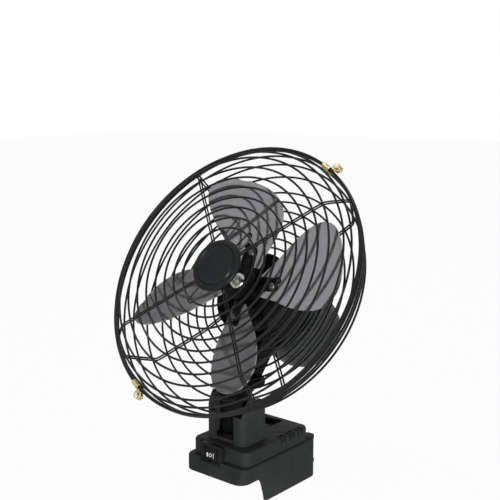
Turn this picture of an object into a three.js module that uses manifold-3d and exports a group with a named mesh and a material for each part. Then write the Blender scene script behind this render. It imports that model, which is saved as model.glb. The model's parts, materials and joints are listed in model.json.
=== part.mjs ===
// Jobsite fan: a wire-caged fan head that tilts on a forked stalk and turns in the tower of a battery-tool base.
// Millimetres, +Z up, the front towards -Y, the origin on the ground under the middle of the base.
import * as THREE from 'three';
import { mergeVertices } from 'three/addons/utils/BufferGeometryUtils.js';
import Module from 'manifold-3d';

const wasm = await Module();
wasm.setup();

// Clearances and cutters
const seatGap = 0.3;
const runningGap = 0.5;
const cutOverrun = 3;
const weldDepth = 0.75;
const weldTolerance = 0.0001;

// Lower shell with the battery bay
const shellWidth = 75;
const shellLength = 120;
const shellHeight = 40.5;
const shellCorner = 11;
const shellFillet = 1.8;
const bayHeight = 25.5;
const skirtWall = 3.4;
const skirtFootFront = 24;
const skirtLeftFront = 12;
const skirtStepBack = 25.8;
const skirtStepMiddle = 29.5;
const skirtStepFront = 34;
const skirtStepLow = 8;
const skirtStepHigh = 20;
const railWidth = 4;
const railBottom = 13;
const railTop = 17;
const railFront = 10;
const frontLeanDepth = 4.5;
const latchWidth = 7;
const latchDepth = 2;
const latchLeft = 23;
const latchBottom = 13;
const latchTop = 32;
const tabWidth = 11;
const tabLength = 9;
const tabRise = 2.2;

// Deck with its vents
const deckWidth = 71;
const deckFront = 51;
const deckBack = 48;
const deckHeight = 14.5;
const deckCorner = 9;
const deckFillet = 2.4;
const ventLength = 6.5;
const ventWidth = 3.4;
const ventDepth = 5;
const ventPitch = 5.4;
const ventFirst = 1;
const ventPairPitch = 13.5;
const pocketWidth = 26;
const pocketLength = 25;
const pocketDepth = 6;
const pocketBack = 47;
const pocketLeft = 20;
const pocketBarWidth = 3;

// Tower
const towerWidth = 49;
const towerFront = 43;
const towerBack = 5;
const towerCorner = 8;
const towerWall = 3.2;
const towerFloor = 3;
const towerFrontTop = 84;
const towerPeak = 102;
const towerPeakFront = 31.5;
const towerBackTop = 93;
const slotWidth = 24;

// Switch
const bezelWidth = 27;
const bezelHeight = 18.6;
const bezelSeat = 1.6;
const bezelDepth = 3.6;
const bezelCentre = 6.5;
const bezelBottom = 36.4;
const bezelRound = 1.6;
const rockerWidth = 16.5;
const rockerHeight = 12.6;
const rockerDepth = 6;
const rockerBow = 1.3;
const rockerCentre = 6.75;
const rockerBottom = 38.6;
const rockerProud = 0.8;
const rockerGap = 1.2;

// Battery terminals and base screws
const terminalWidth = 26;
const terminalFront = 18;
const terminalBack = 50;
const terminalHeight = 13;
const contactSpread = 7;
const contactThickness = 1;
const contactLength = 13;
const contactHeight = 6;
const contactInset = 4;
const baseScrewSpreadX = 25;
const baseScrewFront = 38;
const baseScrewBack = 34;
const baseScrewRadius = 1.8;
const baseScrewHeadRadius = 3.4;
const baseScrewHeadHeight = 2.2;
const baseScrewLength = 24;

// Turning post
const turnAxisBack = 24.5;
const pivotHeight = 116.3;
const pivotSetback = 4.3;
const postWidth = 24;
const postHalfDepth = 8;
const postCrownRadius = 7;
const postNeckHeight = 103;
const turntableRadius = 14.8;
const turntableHeight = 4;
const kingpinRadius = 5;
const kingpinLength = 11;

// Head placement, measured from the pivot along the rim plane and along the fan's axis
const tiltDegrees = 32.6;
const turnDegrees = 1.6;
const headRise = 79.4;
const headReach = 66.4;

// Stalk and its pivot
const forkWidth = 34;
const forkRadius = 7;
const forkHeel = 12.4;
const forkHeelBack = 3;
const forkBackLow = 10;
const stalkBackHigh = 19;
const forkSlotRise = 14;
const boltRadius = 3;
const boltHeadRadius = 6.6;
const boltHeadLength = 11.6;
const boltHeadRound = 3;
const boltTail = 7;
const nutRadius = 5.6;
const nutLength = 5;

// Motor
const motorFrontRadius = 36;
const motorRearRadius = 41;
const motorSplit = 92;
const motorTail = 165;
const motorDome = 20;
const motorEdge = 3;
const motorVentCount = 10;
const motorVentInner = 12;
const motorVentOuter = 26;
const motorVentWidth = 3;
const motorVentDepth = 3;
const shaftRadius = 4;
const shaftFront = -5;
const shaftSeat = 12;

// Wire guards
const ringWire = 2.4;
const ribWire = 2.8;
const rimWire = 3;
const rimRadius = 136;
const rimHalfGap = 1.9;
const frontFace = 21;
const frontBendRadius = 115.3;
const frontPitch = 10.8;
const frontRingCount = 8;
const frontInnerEnd = 20;
const backFace = 46.8;
const backBendRadius = 123.5;
const backBendDepth = 39.5;
const backInnerBend = 62;
const backFirst = 10;
const backPitch = 9.8;
const backRingCount = 5;
const platePlane = 40.6;
const plateThickness = 2;
const plateRadius = 42;
const plateBore = 15;
const plateScrewRing = 27;
const plateScrewRadius = 2;
const plateScrewHeadRadius = 3.6;
const plateScrewHeadHeight = 2.2;
const plateScrewLength = 12;

// Cap in the middle of the front guard
const capRadius = 26;
const capDepth = 4.4;
const capLip = 1.2;
const capGrooveOuter = 20;
const capGrooveInner = 17;
const capGrooveDepth = 1.6;
const capCrown = 0.7;

// Guard clips
const clipBandLength = 10;
const clipGap = 0.9;
const clipBandWall = 1;
const clipEarRise = 6.5;
const clipEarLength = 8.5;
const clipEarThickness = 1.4;
const clipEarGap = 2;
const clipScrewRadius = 1.5;
const clipScrewHeadRadius = 3.1;
const clipScrewHeadHeight = 2.4;
const clipScrewTail = 1.8;
const clipNutRadius = 3.3;
const clipNutHeight = 2.6;

// Fan wheel
const bladeTip = 109.3;
const bladeRoot = 20;
const bladeHalfChord = 39.6;
const bladeSheet = 1.5;
const bladePlane = 25.4;
const bladeSweep = 27.8;
const bladeRootPitch = 19.2;
const bladeTipPitch = 27.4;
const bladeFirstDegrees = 6.7;
const hubRadius = 17;
const hubFront = 15.5;
const hubBack = 36;
const hubBarrelRadius = 10.5;
const hubBarrelBack = 39.5;
const armWidth = 12;
const armEnd = 41;
const armThickness = 2.4;
const rivetReach = 34;
const rivetRadius = 2;
const rivetHeadRadius = 4;
const rivetHeadHeight = 1.6;
const collarRadius = 8.2;
const collarFront = 7;
const setScrewRadius = 1.6;
const setScrewLength = 3.6;

// Counts
const cornerSteps = 4;
const filletSteps = 2;
const wideSteps = 28;
const middleSteps = 22;
const smallSteps = 18;
const roundSteps = 30;
const boltSteps = 12;
const screwSteps = 8;
const hexSteps = 6;
const wireSides = 4;
const halfTurnDegrees = 180;
const fullTurnDegrees = 360;
const squareDegrees = 90;
const bladeCount = 4;
const frontRibDegrees = [40, 126.5, 219.5, 305.5];
const backRibDegrees = [43, 131.5, 227, 311];
const clipDegrees = [61, 244];
const clipSides = [-1, 1];
const plateScrewDegrees = [86, 176, 266, 356];

// Blade outline: how far out, and how wide, as shares of the tip radius and the half chord
const bladeRadiusShares = [0.179, 0.25, 0.34, 0.42, 0.5, 0.58, 0.655, 0.73, 0.79, 0.845, 0.895, 0.935, 0.965, 0.988, 1];
const bladeWidthShares = [0.26, 0.36, 0.49, 0.64, 0.77, 0.875, 0.95, 0.99, 0.99, 0.955, 0.875, 0.765, 0.62, 0.42, 0.16];
const bladeChordSteps = 2;

const black = new THREE.MeshStandardMaterial({ color: 0x2b2c2d, roughness: 0.6, metalness: 0 });
const deepBlack = new THREE.MeshStandardMaterial({ color: 0x161617, roughness: 0.45, metalness: 0 });
const switchBlack = new THREE.MeshStandardMaterial({ color: 0x1b1c1d, roughness: 0.35, metalness: 0 });
const wirePaint = new THREE.MeshStandardMaterial({ color: 0x1a1a1b, roughness: 0.4, metalness: 0.1 });
const bladePaint = new THREE.MeshStandardMaterial({ color: 0x85858a, roughness: 0.45, metalness: 0.1 });
const motorPaint = new THREE.MeshStandardMaterial({ color: 0x303334, roughness: 0.5, metalness: 0.1 });
const brightSteel = new THREE.MeshStandardMaterial({ color: 0xb9bab8, roughness: 0.3, metalness: 0.9 });
const darkSteel = new THREE.MeshStandardMaterial({ color: 0x3a3b3d, roughness: 0.4, metalness: 0.8 });
const brass = new THREE.MeshStandardMaterial({ color: 0xb08a3c, roughness: 0.35, metalness: 0.85 });

const product = new THREE.Group();
const turningGroup = new THREE.Group();
const headGroup = new THREE.Group();

// Turns a closed geometry into a solid with its faces outward.
function solidOf(geometry) {
  const bare = new THREE.BufferGeometry();
  bare.setAttribute('position', geometry.getAttribute('position').clone());
  if (geometry.index) bare.setIndex(geometry.index.clone());
  const welded = mergeVertices(bare, weldTolerance);
  const places = welded.getAttribute('position').array;
  const corners = welded.index.array;
  const kept = [];
  let volume = 0;
  const a = new THREE.Vector3();
  const b = new THREE.Vector3();
  const c = new THREE.Vector3();
  for (let i = 0; i < corners.length; i += 3) {
    const [p, q, r] = [corners[i], corners[i + 1], corners[i + 2]];
    if (p === q || q === r || r === p) continue;
    kept.push(p, q, r);
    a.fromArray(places, 3 * p);
    b.fromArray(places, 3 * q);
    c.fromArray(places, 3 * r);
    volume += a.dot(b.cross(c));
  }
  if (volume < 0) kept.reverse();
  const triVerts = Uint32Array.from(kept);
  return new wasm.Manifold(new wasm.Mesh({ numProp: 3, vertProperties: Float32Array.from(places), triVerts }));
}

function geometryOf(solid) {
  const mesh = solid.getMesh();
  const geometry = new THREE.BufferGeometry();
  geometry.setAttribute('position', new THREE.BufferAttribute(Float32Array.from(mesh.vertProperties), 3));
  geometry.setIndex(new THREE.BufferAttribute(Uint32Array.from(mesh.triVerts), 1));
  geometry.computeVertexNormals();
  return geometry;
}

function place(parent, name, solid, material) {
  const mesh = new THREE.Mesh(geometryOf(solid), material);
  mesh.name = name;
  parent.add(mesh);
  return mesh;
}

function joined(solids) {
  return solids.reduce((whole, next) => whole.add(next));
}

function radians(degrees) {
  return THREE.MathUtils.degToRad(degrees);
}

function block(x0, x1, y0, y1, z0, z1) {
  const geometry = new THREE.BoxGeometry(x1 - x0, y1 - y0, z1 - z0);
  geometry.translate((x0 + x1) / 2, (y0 + y1) / 2, (z0 + z1) / 2);
  return solidOf(geometry);
}

// An outline with round corners, from x0 to x1 and y0 to y1.
function roundedOutline(x0, x1, y0, y1, corner) {
  const outline = new THREE.Shape();
  outline.absarc(x1 - corner, y1 - corner, corner, 0, Math.PI / 2, false);
  outline.absarc(x0 + corner, y1 - corner, corner, Math.PI / 2, Math.PI, false);
  outline.absarc(x0 + corner, y0 + corner, corner, Math.PI, -Math.PI / 2, false);
  outline.absarc(x1 - corner, y0 + corner, corner, -Math.PI / 2, 0, false);
  outline.closePath();
  return outline;
}

function prism(outline, z0, z1) {
  const geometry = new THREE.ExtrudeGeometry(outline, { depth: z1 - z0, bevelEnabled: false, curveSegments: cornerSteps });
  geometry.translate(0, 0, z0);
  return solidOf(geometry);
}

// A prism whose top edge is rounded.
function softPrism(x0, x1, y0, y1, z0, z1, corner, fillet) {
  const outline = roundedOutline(x0 + fillet, x1 - fillet, y0 + fillet, y1 - fillet, corner - fillet);
  const settings = { depth: z1 - z0, bevelEnabled: true, bevelThickness: fillet, bevelSize: fillet, bevelSegments: filletSteps };
  const geometry = new THREE.ExtrudeGeometry(outline, { ...settings, curveSegments: cornerSteps });
  geometry.translate(0, 0, z0 - fillet);
  const low = z0 - fillet - cutOverrun;
  return solidOf(geometry).subtract(block(x0 - fillet, x1 + fillet, y0 - fillet, y1 + fillet, low, z0));
}

// A prism along X from an outline drawn with Y to the right and Z up.
function sidePrism(points, x0, x1) {
  const outline = new THREE.Shape(points.map(([y, z]) => new THREE.Vector2(y, z)));
  const geometry = new THREE.ExtrudeGeometry(outline, { depth: x1 - x0, bevelEnabled: false });
  const turn = new THREE.Matrix4();
  turn.makeBasis(new THREE.Vector3(0, 1, 0), new THREE.Vector3(0, 0, 1), new THREE.Vector3(1, 0, 0));
  geometry.applyMatrix4(turn);
  geometry.translate(x0, 0, 0);
  return solidOf(geometry);
}

// A round body about the Z axis from [radius, height] points.
function turned(points, steps) {
  const geometry = new THREE.LatheGeometry(points.map(([r, z]) => new THREE.Vector2(r, z)), steps);
  geometry.rotateX(Math.PI / 2);
  return solidOf(geometry);
}

function rod(radius, z0, z1, steps) {
  return turned([[0, z0], [radius, z0], [radius, z1], [0, z1]], steps);
}

// Carries a solid made along Z to a place, with its Z turned to a direction.
function carried(solid, x, y, z, direction) {
  const geometry = geometryOf(solid);
  const turn = new THREE.Quaternion().setFromUnitVectors(new THREE.Vector3(0, 0, 1), direction);
  geometry.applyQuaternion(turn);
  geometry.translate(x, y, z);
  return solidOf(geometry);
}

function aboutAxis(solid, degrees) {
  const geometry = geometryOf(solid);
  geometry.rotateZ(radians(degrees));
  return solidOf(geometry);
}

const alongX = new THREE.Vector3(1, 0, 0);

// A wire route that keeps its corner points and mitres them.
class WireRoute extends THREE.Curve {
  constructor(points) {
    super();
    this.points = points;
  }

  getUtoTmapping(share) {
    return share;
  }

  getPoint(share, target = new THREE.Vector3()) {
    const last = this.points.length - 1;
    const index = Math.min(Math.floor(share * last), last - 1);
    return target.lerpVectors(this.points[index], this.points[index + 1], share * last - index);
  }

  getTangent(share, target = new THREE.Vector3()) {
    const last = this.points.length - 1;
    const index = Math.round(share * last);
    const before = this.points[Math.max(index - 1, 0)];
    const here = this.points[index];
    const after = this.points[Math.min(index + 1, last)];
    target.set(0, 0, 0);
    if (index > 0) target.add(here.clone().sub(before).normalize());
    if (index < last) target.add(after.clone().sub(here).normalize());
    return target.normalize();
  }
}

function wire(points, diameter) {
  const section = new THREE.Shape();
  section.absarc(0, 0, diameter / 2, 0, radians(fullTurnDegrees), false);
  const extrudePath = new WireRoute(points);
  const settings = { steps: points.length - 1, extrudePath, bevelEnabled: false, curveSegments: wireSides };
  return solidOf(new THREE.ExtrudeGeometry(section, settings));
}

function ring(radius, height, diameter, steps) {
  const geometry = new THREE.TorusGeometry(radius, diameter / 2, wireSides, steps);
  geometry.translate(0, 0, height);
  return solidOf(geometry);
}

function ringSteps(radius) {
  if (radius > frontBendRadius - frontPitch) return wideSteps;
  if (radius > capRadius + capRadius) return middleSteps;
  return smallSteps;
}

// The middle of a ring that lies on the outer side of a rib between two of its points.
function ringPlace(from, to, share) {
  const run = new THREE.Vector2(to[0] - from[0], to[1] - from[1]);
  const outward = new THREE.Vector2(-run.y, run.x).normalize();
  const offset = (ringWire + ribWire) / 2 - weldDepth;
  return [from[0] + share * run.x + offset * outward.x, from[1] + share * run.y + offset * outward.y];
}

function ribWireAt(route, degrees) {
  const points = route.map(([r, z]) => new THREE.Vector3(r * Math.cos(radians(degrees)), r * Math.sin(radians(degrees)), z));
  return wire(points, ribWire);
}

// Base
function lowerShell() {
  const half = shellWidth / 2;
  const end = shellLength / 2;
  let body = softPrism(-half, half, -end, end, 0, shellHeight, shellCorner, shellFillet);
  const below = -cutOverrun;
  const past = half + cutOverrun;
  const step = [[-end - cutOverrun, below], [-skirtFootFront, below], [-skirtFootFront, 0]];
  step.push([-skirtStepBack, skirtStepLow], [-skirtStepMiddle, skirtStepHigh], [-skirtStepFront, bayHeight]);
  step.push([-end - cutOverrun, bayHeight]);
  body = body.subtract(sidePrism(step, -past, past));
  body = body.subtract(block(-past, 0, -end - cutOverrun, -skirtLeftFront, below, bayHeight));
  const inner = half - skirtWall;
  const bay = block(-inner, inner, -end - cutOverrun, end - skirtWall, below, bayHeight);
  body = body.subtract(bay);
  const lean = [[-end - cutOverrun, bayHeight], [-end, bayHeight], [-end + frontLeanDepth, shellHeight + cutOverrun]];
  lean.push([-end - cutOverrun, shellHeight + cutOverrun]);
  body = body.subtract(sidePrism(lean, -past, past));
  const railIn = inner - railWidth;
  const railStart = -railFront;
  for (const side of [-1, 1]) {
    const x = [side * railIn, side * (inner + weldDepth)].sort((p, q) => p - q);
    body = body.add(block(x[0], x[1], railStart, end - skirtWall + weldDepth, railBottom, railTop));
  }
  const step2 = sidePrism(step, -past, past);
  body = body.subtract(step2);
  body = body.add(block(latchLeft, latchLeft + latchWidth, end - skirtWall, end + latchDepth, latchBottom, latchTop));
  const tabRight = half - shellFillet;
  const tabEnd = end - shellFillet;
  const tab = roundedOutline(tabRight - tabWidth, tabRight, tabEnd - tabLength, tabEnd, tabLength / 2 - weldDepth);
  body = body.add(prism(tab, shellHeight - shellFillet, shellHeight + tabRise));
  for (const [x, y] of baseScrewPlaces()) {
    body = body.subtract(rodAt(x, y, baseScrewRadius + seatGap, bayHeight - cutOverrun, shellHeight + cutOverrun));
  }
  return body.subtract(switchWell());
}

function rodAt(x, y, radius, z0, z1) {
  return carried(rod(radius, z0, z1, screwSteps), x, y, 0, new THREE.Vector3(0, 0, 1));
}

function baseScrewPlaces() {
  const places = [];
  for (const side of [-1, 1]) {
    for (const y of [-baseScrewFront, baseScrewBack]) places.push([side * baseScrewSpreadX, y]);
  }
  return places;
}

function deckTop() {
  return shellHeight + seatGap + deckHeight;
}

function deck() {
  const half = deckWidth / 2;
  const bottom = shellHeight + seatGap;
  let body = softPrism(-half, half, -deckFront, deckBack, bottom, deckTop(), deckCorner, deckFillet);
  const right = half + cutOverrun;
  for (let pair = 0; pair < 3; pair += 1) {
    for (let twin = 0; twin < 2; twin += 1) {
      const y = ventFirst + pair * ventPairPitch + twin * ventPitch;
      const top = deckTop() + cutOverrun;
      body = body.subtract(block(half - ventLength, right, y, y + ventWidth, deckTop() - ventDepth, top));
    }
  }
  const pocketFront = pocketBack - pocketLength;
  const pocketRight = pocketWidth - pocketLeft;
  const floor = deckTop() - pocketDepth;
  body = body.subtract(block(-pocketLeft, pocketRight, pocketFront, pocketBack - pocketDepth, floor, deckTop() + cutOverrun));
  const tabRight = shellWidth / 2 - shellFillet;
  const tabFront = shellLength / 2 - shellFillet - tabLength;
  body = body.subtract(block(tabRight - tabWidth - seatGap, right, tabFront - seatGap, shellLength, bottom - cutOverrun, bottom + tabRise));
  body = body.subtract(rodAt(0, -turnAxisBack, kingpinRadius + runningGap, kingpinFoot() - seatGap, deckTop() + cutOverrun));
  const screwTop = bayHeight - baseScrewHeadHeight + baseScrewLength;
  for (const [x, y] of baseScrewPlaces()) {
    body = body.subtract(rodAt(x, y, baseScrewRadius + seatGap, bottom - cutOverrun, screwTop + seatGap));
  }
  return body.subtract(switchWell());
}

function towerBase() {
  return deckTop() + seatGap;
}

function tower() {
  const half = towerWidth / 2;
  const outline = roundedOutline(-half, half, -towerFront, -towerBack, towerCorner);
  const base = towerBase();
  const past = half + cutOverrun;
  const top = towerPeak + cutOverrun;
  let body = prism(outline, base, towerPeak);
  const above = [[-towerFront - cutOverrun, towerFrontTop], [-towerFront, towerFrontTop], [-towerPeakFront, towerPeak]];
  above.push([-towerBack, towerBackTop], [-towerBack + cutOverrun, towerBackTop], [-towerBack + cutOverrun, top]);
  above.push([-towerFront - cutOverrun, top]);
  body = body.subtract(sidePrism(above, -past, past));
  const inner = half - towerWall;
  const floor = base + towerFloor;
  const well = roundedOutline(-inner, inner, -towerFront + towerWall, -towerBack - towerWall, towerCorner - towerWall);
  body = body.subtract(prism(well, floor, top));
  const frontTop = block(-half + towerWall, inner, -towerFront - cutOverrun, -turnAxisBack, towerFrontTop, top);
  body = body.subtract(frontTop);
  const slot = block(-slotWidth / 2, slotWidth / 2, -towerFront - cutOverrun, -towerBack + cutOverrun, floor, top);
  body = body.subtract(slot);
  const doorway = block(-slotWidth / 2, slotWidth / 2, -towerFront - cutOverrun, -towerFront + towerWall, base - cutOverrun, top);
  body = body.subtract(doorway);
  return body.subtract(rodAt(0, -turnAxisBack, kingpinRadius + runningGap, base - cutOverrun, top));
}

// The bezel's outline box: left, right, front, back, bottom, top.
function bezelBox() {
  const left = -bezelCentre - bezelWidth / 2;
  const front = -deckFront - bezelDepth;
  return [left, left + bezelWidth, front, -deckFront + bezelSeat, bezelBottom, bezelBottom + bezelHeight];
}

function switchWell() {
  const [left, right, , back, bottom] = bezelBox();
  const front = -shellLength / 2 - cutOverrun;
  const top = deckTop() + cutOverrun;
  const reach = rockerDepth + rockerDepth + seatGap;
  const hole = rockerOutline(rockerGap);
  const well = block(left - seatGap, right + seatGap, front, back + seatGap, bottom - seatGap, top);
  return well.add(block(hole[0], hole[1], -deckFront, -deckFront + reach, hole[2], hole[3]));
}

// The rocker's outline, grown sideways for its swing: left, right, bottom, top.
function rockerOutline(swing) {
  const left = -rockerCentre - rockerWidth / 2;
  const gap = Math.min(swing, runningGap);
  return [left - swing, left + rockerWidth + swing, rockerBottom - gap, rockerBottom + rockerHeight + gap];
}

function bezel() {
  const [left, right, front, back, bottom, top] = bezelBox();
  const outline = roundedOutline(left, right, bottom, top, bezelRound);
  const geometry = new THREE.ExtrudeGeometry(outline, { depth: back - front, bevelEnabled: false, curveSegments: 3 });
  geometry.rotateX(Math.PI / 2);
  geometry.translate(0, back, 0);
  const hole = rockerOutline(rockerGap);
  return solidOf(geometry).subtract(block(hole[0], hole[1], front - cutOverrun, back + cutOverrun, hole[2], hole[3]));
}

// The rocker turns about an upright axis through its middle.
function rockerAxisDepth() {
  return -deckFront + rockerDepth / 2;
}

function rocker() {
  const [left, right, bottom, top] = rockerOutline(0);
  const front = bezelBox()[2] - rockerProud;
  const back = rockerAxisDepth() + rockerDepth;
  const middle = (left + right) / 2;
  const quarter = rockerWidth / 4;
  const outline = new THREE.Shape();
  const inset = quarter;
  outline.moveTo(left, front);
  outline.lineTo(middle, front + rockerBow);
  outline.lineTo(right, front);
  outline.lineTo(right, rockerAxisDepth());
  outline.lineTo(right - inset, back);
  outline.lineTo(left + inset, back);
  outline.lineTo(left, rockerAxisDepth());
  outline.closePath();
  return prism(outline, bottom, top);
}

function terminalBlock() {
  const half = terminalWidth / 2;
  const top = bayHeight - seatGap;
  let body = block(-half, half, terminalFront, terminalBack, top - terminalHeight, top);
  for (const side of [-1, 1]) body = body.subtract(contactBox(side, seatGap, cutOverrun));
  return body;
}

function contactBox(side, gap, overrun) {
  const x = side * contactSpread;
  const half = contactThickness / 2 + gap;
  const middle = bayHeight - seatGap - terminalHeight / 2;
  const tall = contactHeight / 2 + gap;
  const back = terminalFront + contactInset + gap;
  return block(x - half, x + half, terminalFront - contactLength + contactInset - overrun, back, middle - tall, middle + tall);
}

function baseScrew() {
  const head = bayHeight - seatGap;
  const low = head - baseScrewHeadHeight;
  const points = [[0, low], [baseScrewHeadRadius - seatGap, low], [baseScrewHeadRadius, low + seatGap]];
  points.push([baseScrewHeadRadius, head], [baseScrewRadius, head], [baseScrewRadius, low + baseScrewLength], [0, low + baseScrewLength]);
  return turned(points, screwSteps);
}

// Turning post, made about its own upright axis
function kingpinFoot() {
  return towerBase() - kingpinLength;
}

function post() {
  const half = postWidth / 2;
  const low = towerBase() + towerFloor + seatGap;
  const foot = low + turntableHeight / 2;
  const points = [[-postHalfDepth, foot], [postHalfDepth, foot], [postHalfDepth, postNeckHeight]];
  points.push([pivotSetback + postCrownRadius, pivotHeight], [pivotSetback - postCrownRadius, pivotHeight]);
  points.push([-postHalfDepth, postNeckHeight]);
  const body = sidePrism(points, -half, half);
  const crown = carried(rod(postCrownRadius, -half, half, smallSteps), 0, pivotSetback, pivotHeight, alongX);
  const table = rod(turntableRadius, low, low + turntableHeight, roundSteps);
  const kingpin = rod(kingpinRadius, kingpinFoot(), low + turntableHeight / 2, boltSteps);
  const bore = carried(rod(boltRadius + seatGap, -half - cutOverrun, half + cutOverrun, boltSteps), 0, pivotSetback, pivotHeight, alongX);
  return joined([body, crown, table, kingpin]).subtract(bore);
}

// Head, made about the fan's axis: x to the right, y up along the rim plane, z forward
function pivotY() {
  return -headRise;
}

function pivotZ() {
  return -headReach;
}

function stalk() {
  const half = forkWidth / 2;
  const top = -motorFrontRadius + motorEdge + motorEdge;
  const y = pivotY();
  const z = pivotZ();
  const points = [[top, z + forkRadius], [y - forkRadius / 2, z + forkRadius], [y - forkHeel + forkHeelBack, z + forkHeelBack]];
  points.push([y - forkHeel, z - forkHeelBack], [y - forkHeel + forkHeelBack, z - forkRadius], [y, z - forkBackLow]);
  points.push([top, z - stalkBackHigh]);
  let body = sidePrism(points, -half, half);
  const fork = postWidth / 2 + runningGap;
  body = body.subtract(block(-fork, fork, y - forkHeel - cutOverrun, y + forkSlotRise, z - motorFrontRadius, z + motorFrontRadius));
  const saddle = rod(motorFrontRadius + seatGap, -motorTail, 0, roundSteps);
  body = body.subtract(saddle);
  return body.subtract(carried(rod(boltRadius + seatGap, -half - cutOverrun, half + cutOverrun, boltSteps), 0, y, z, alongX));
}

function pivotBolt() {
  const seat = forkWidth / 2 + seatGap;
  const end = seat + boltHeadLength;
  const tail = -seat - boltTail;
  const points = [[0, tail], [boltRadius, tail], [boltRadius, seat], [boltHeadRadius, seat]];
  points.push([boltHeadRadius, end - boltHeadRound], [boltHeadRadius - boltHeadRound / 3, end - boltHeadRound / 3]);
  points.push([boltHeadRadius - boltHeadRound, end], [0, end]);
  return carried(turned(points, boltSteps), 0, pivotY(), pivotZ(), alongX);
}

function pivotNut() {
  const seat = -forkWidth / 2 - seatGap;
  const body = rod(nutRadius, seat - nutLength, seat, hexSteps);
  const bore = rod(boltRadius + seatGap, seat - nutLength - cutOverrun, seat + cutOverrun, boltSteps);
  return carried(body.subtract(bore), 0, pivotY(), pivotZ(), alongX);
}

function motorFace() {
  return -platePlane - plateThickness - seatGap;
}

function motorFront() {
  const face = motorFace();
  const points = [[0, face], [motorFrontRadius - motorEdge, face], [motorFrontRadius, face - motorEdge]];
  points.push([motorFrontRadius, -motorSplit], [0, -motorSplit]);
  let body = turned(points, roundSteps);
  body = body.subtract(rod(shaftRadius + seatGap, face - shaftSeat - seatGap, face + cutOverrun, boltSteps));
  const deep = -platePlane - plateScrewLength;
  for (const degrees of plateScrewDegrees) {
    const hole = carried(rod(plateScrewRadius + seatGap, deep, face + cutOverrun, screwSteps), plateScrewRing, 0, 0, new THREE.Vector3(0, 0, 1));
    body = body.subtract(aboutAxis(hole, degrees));
  }
  return body;
}

function motorRear() {
  const front = -motorSplit - seatGap;
  const bend = -motorTail + motorDome;
  const points = [[0, front], [motorRearRadius - motorEdge, front], [motorRearRadius, front - motorEdge], [motorRearRadius, bend]];
  const domeShares = [0.34, 0.64, 0.87];
  for (const share of domeShares) {
    const angle = share * Math.PI / 2;
    points.push([motorRearRadius - motorDome + motorDome * Math.cos(angle), bend - motorDome * Math.sin(angle)]);
  }
  points.push([motorRearRadius - motorDome, -motorTail], [0, -motorTail]);
  let body = turned(points, roundSteps);
  const tail = -motorTail;
  const vent = block(motorVentInner, motorVentOuter, -motorVentWidth / 2, motorVentWidth / 2, tail - motorDome, tail + motorVentDepth);
  for (let i = 0; i < motorVentCount; i += 1) body = body.subtract(aboutAxis(vent, i * fullTurnDegrees / motorVentCount));
  return body;
}

function shaft() {
  const back = motorFace() - shaftSeat;
  return rod(shaftRadius, back, shaftFront, boltSteps);
}

function frontRoute() {
  const flat = frontFace - (ringWire + ribWire) / 2 + weldDepth;
  const rim = rimRadius - weldDepth;
  const bend = ribWire;
  return {
    points: [[frontInnerEnd, flat], [frontBendRadius - bend, flat], [frontBendRadius + bend, flat - bend / 2], [rim, rimHalfGap]],
    bend: [frontBendRadius + bend, flat - bend / 2],
    rim: [rim, rimHalfGap],
  };
}

function frontGuard() {
  const route = frontRoute();
  const parts = [ring(rimRadius, rimHalfGap, rimWire, wideSteps)];
  for (let i = 0; i < frontRingCount; i += 1) {
    const radius = frontBendRadius - i * frontPitch;
    parts.push(ring(radius, frontFace, ringWire, ringSteps(radius)));
  }
  const sideShares = [0.37, 0.68];
  for (const share of sideShares) {
    const [radius, height] = ringPlace(route.bend, route.rim, share);
    parts.push(ring(radius, height, ringWire, wideSteps));
  }
  for (const degrees of frontRibDegrees) parts.push(ribWireAt(route.points, degrees));
  return joined(parts);
}

function backRoute() {
  const offset = (ringWire + ribWire) / 2 - weldDepth;
  const rim = rimRadius - weldDepth;
  const bendRadius = backBendRadius - offset;
  const bendHeight = -backBendDepth + offset;
  const innerHeight = -backFace + offset;
  const plateEnd = motorFrontRadius + ribWire;
  const plateHeight = -platePlane - plateThickness - ribWire / 2 + weldDepth;
  return [[rim, -rimHalfGap], [bendRadius, bendHeight + ribWire], [bendRadius - ribWire, bendHeight],
    [backInnerBend, innerHeight], [plateEnd, plateHeight]];
}

function rearGuard() {
  const route = backRoute();
  const parts = [ring(rimRadius, -rimHalfGap, rimWire, wideSteps)];
  const sideShares = [0.22, 0.52, 0.97];
  for (const share of sideShares) {
    const [radius, height] = ringPlace(route[0], route[1], share);
    parts.push(ring(radius, height, ringWire, wideSteps));
  }
  const backRun = route[2][0] - route[3][0];
  for (let i = 0; i < backRingCount; i += 1) {
    const share = (backFirst + i * backPitch) / backRun;
    const [radius, height] = ringPlace(route[2], route[3], share);
    parts.push(ring(radius, height, ringWire, ringSteps(radius)));
  }
  const innerShares = [0.06, 0.5];
  for (const share of innerShares) {
    const [radius, height] = ringPlace(route[3], route[4], share);
    parts.push(ring(radius, height, ringWire, ringSteps(radius)));
  }
  for (const degrees of backRibDegrees) parts.push(ribWireAt(route, degrees));
  const front = -platePlane;
  const back = front - plateThickness;
  const plate = turned([[plateBore, back], [plateRadius, back], [plateRadius, front], [plateBore, front], [plateBore, back]], roundSteps);
  let guard = joined([...parts, plate]);
  for (const degrees of plateScrewDegrees) {
    const hole = carried(rod(plateScrewRadius + seatGap, back - cutOverrun, front + cutOverrun, screwSteps), plateScrewRing, 0, 0, new THREE.Vector3(0, 0, 1));
    guard = guard.subtract(aboutAxis(hole, degrees));
  }
  return guard;
}

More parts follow.
